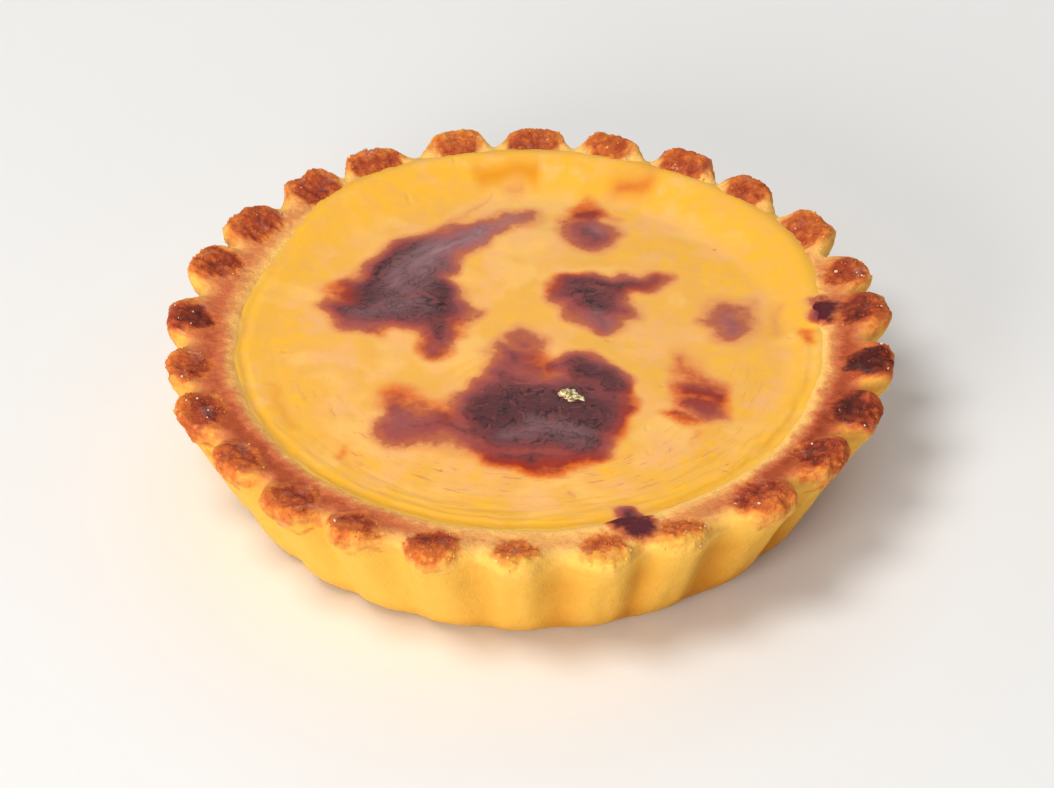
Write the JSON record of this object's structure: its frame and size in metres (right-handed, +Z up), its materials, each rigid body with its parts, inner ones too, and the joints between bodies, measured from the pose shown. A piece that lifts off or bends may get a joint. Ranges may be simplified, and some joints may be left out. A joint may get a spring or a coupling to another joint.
{
  "type": "portuguese custard tart",
  "caption": "Round custard tart: a fluted, knob-rimmed shortcrust case filled to just under its rim with set custard, browned in patches on top.",
  "frame": {"origin": "centre of the case's flat underside, on the surface that the tart stands on", "axes": "+Z up out of the custard; -Y is the front, the side nearest to the viewer in the reference view; +X to the viewer's right"},
  "size_m": [0.1008, 0.1009, 0.0206],
  "materials": {
    "baked_shortcrust": "dry baked shortcrust pastry, golden yellow, crumbly and browned to dark caramel on the rim's knobs",
    "set_custard": "set egg custard with a thin satin skin, warm yellow with dark caramelised patches"
  },
  "bodies": {
    "root": {"pastry_case": "baked_shortcrust", "custard_filling": "set_custard"}
  },
  "joints": []
}
